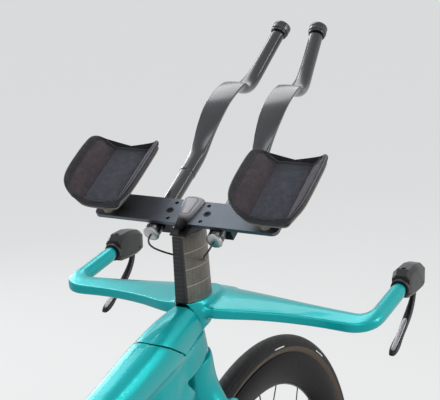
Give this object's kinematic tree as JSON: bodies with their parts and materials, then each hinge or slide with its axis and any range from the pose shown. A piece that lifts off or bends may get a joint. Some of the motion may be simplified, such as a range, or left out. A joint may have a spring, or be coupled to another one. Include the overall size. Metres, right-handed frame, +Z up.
{
  "type": "time trial bike",
  "caption": "Time trial bicycle with integrated wing base bar, riser tower, cupped arm rests on a bridge plate, S-bend extensions, disc brakes, deep front rim and rear disc wheel.",
  "frame": {"origin": "on the ground, halfway between the two axles, in the middle plane", "axes": "+X forward along the bike, +Y to the rider's left, +Z up"},
  "size_m": [1.684, 0.47, 1.13],
  "materials": {
    "celeste_paint": "pearl under gloss clear coat",
    "black_gloss": "gloss lacquered carbon",
    "satin_carbon": "satin carbon",
    "satin_alloy": "satin anodised",
    "black_alloy": "black anodised",
    "bright_steel": "brushed",
    "black_steel": "black coated",
    "dark_plastic": "moulded, faintly textured",
    "lever_black": "satin black with a bright edge",
    "button_grey": "moulded",
    "pad_fabric": "fine knit over foam",
    "saddle_cover": "smooth synthetic cover",
    "wire_black": "matte",
    "tyre_black": "smooth tread"
  },
  "bodies": {
    "frame": {"frame": "celeste_paint", "headset_bearings": "bright_steel", "bottom_bracket_cups": "black_alloy", "rear_axle": "bright_steel", "rear_brake_caliper": "black_alloy", "derailleur_hanger": "satin_alloy", "rear_derailleur": "black_alloy", "derailleur_cage": "black_alloy", "chain": "bright_steel", "seatpost_wedge": "satin_alloy"},
    "seatpost": {"seatpost": "black_gloss", "saddle_clamp": "satin_alloy", "saddle_rails": "bright_steel", "saddle_shell": "dark_plastic", "saddle_pad": "saddle_cover"},
    "steering": {"fork": "celeste_paint", "front_axle": "bright_steel", "front_brake_caliper": "black_alloy", "base_bar": "celeste_paint", "head_cover": "celeste_paint", "riser_spacers": "satin_carbon", "tower_head": "satin_carbon", "bridge_plate": "satin_alloy", "centre_cap": "satin_alloy", "bridge_bolts": "bright_steel", "left_extension": "black_gloss", "right_extension": "black_gloss", "extension_clamps": "black_alloy", "extension_plugs": "dark_plastic", "shifter_collars": "dark_plastic", "left_arm_cup": "dark_plastic", "right_arm_cup": "dark_plastic", "left_arm_pad": "pad_fabric", "right_arm_pad": "pad_fabric", "left_brake_hood": "dark_plastic", "right_brake_hood": "dark_plastic", "hood_fasteners": "bright_steel", "shift_wires": "wire_black"},
    "left_lever": {"left_brake_lever": "lever_black"},
    "right_lever": {"right_brake_lever": "lever_black"},
    "left_button": {"left_shift_button": "button_grey"},
    "right_button": {"right_shift_button": "button_grey"},
    "front_wheel": {"front_tyre": "tyre_black", "front_rim": "black_gloss", "front_spokes": "black_steel", "front_hub": "satin_alloy", "front_rotor": "bright_steel"},
    "rear_wheel": {"rear_tyre": "tyre_black", "rear_disc": "black_gloss", "rear_hub": "satin_alloy", "rear_rotor": "bright_steel"},
    "cassette": {"cassette": "bright_steel"},
    "crank": {"right_crank": "black_gloss", "left_crank": "black_gloss", "chainring": "black_alloy", "pedal_axles": "bright_steel"},
    "left_pedal": {"left_pedal": "black_alloy"},
    "right_pedal": {"right_pedal": "black_alloy"},
    "guide_pulley": {"guide_pulley": "dark_plastic"},
    "tension_pulley": {"tension_pulley": "dark_plastic"}
  },
  "joints": [
    {"name": "steering_turn", "type": "hinge", "parent": "frame", "child": "steering", "pos_m": [0.30673, 0, 0.77502], "axis": [-0.309, 0, 0.9511], "range_deg": [-35, 35]},
    {"name": "front_wheel_spin", "type": "hinge", "parent": "steering", "child": "front_wheel", "pos_m": [0.5, 0, 0.342], "axis": [0, 1, 0], "continuous": true},
    {"name": "rear_wheel_spin", "type": "hinge", "parent": "frame", "child": "rear_wheel", "pos_m": [-0.5, 0, 0.342], "axis": [0, 1, 0], "continuous": true},
    {"name": "crank_spin", "type": "hinge", "parent": "frame", "child": "crank", "pos_m": [-0.09692, 0, 0.267], "axis": [0, 1, 0], "continuous": true},
    {"name": "cassette_spin", "type": "hinge", "parent": "frame", "child": "cassette", "pos_m": [-0.5, 0, 0.342], "axis": [0, 1, 0], "continuous": true},
    {"name": "tension_pulley_spin", "type": "hinge", "parent": "frame", "child": "tension_pulley", "pos_m": [-0.454, 0, 0.185], "axis": [0, 1, 0], "continuous": true},
    {"name": "guide_pulley_spin", "type": "hinge", "parent": "frame", "child": "guide_pulley", "pos_m": [-0.488, 0, 0.267], "axis": [0, 1, 0], "continuous": true},
    {"name": "left_pedal_spin", "type": "hinge", "parent": "crank", "child": "left_pedal", "pos_m": [-0.26692, 0, 0.267], "axis": [0, 1, 0], "continuous": true},
    {"name": "right_pedal_spin", "type": "hinge", "parent": "crank", "child": "right_pedal", "pos_m": [0.07308, 0, 0.267], "axis": [0, 1, 0], "continuous": true},
    {"name": "left_brake_pull", "type": "hinge", "parent": "steering", "child": "left_lever", "pos_m": [0.53273, 0.2215, 0.79902], "axis": [0, 1, 0], "range_deg": [0, 14], "stiffness_Nm_per_rad": 0.25},
    {"name": "right_brake_pull", "type": "hinge", "parent": "steering", "child": "right_lever", "pos_m": [0.53273, -0.2215, 0.79902], "axis": [0, 1, 0], "range_deg": [0, 14], "stiffness_Nm_per_rad": 0.25},
    {"name": "left_shift_press", "type": "slide", "parent": "steering", "child": "left_button", "axis": [-0.7631, 0.1008, -0.6383], "range_m": [0, 0.0015], "stiffness_N_per_m": 400},
    {"name": "right_shift_press", "type": "slide", "parent": "steering", "child": "right_button", "axis": [-0.7631, -0.1008, -0.6383], "range_m": [0, 0.0015], "stiffness_N_per_m": 400},
    {"name": "seatpost_height", "type": "slide", "parent": "frame", "child": "seatpost", "axis": [-0.2079, 0, 0.9781], "range_m": [-0.015, 0.06]}
  ],
  "couplings": [
    {"joint": "cassette_spin", "follows": "crank_spin", "ratio": 3.6},
    {"joint": "tension_pulley_spin", "follows": "crank_spin", "ratio": 4.5},
    {"joint": "guide_pulley_spin", "follows": "crank_spin", "ratio": -4.5}
  ]
}
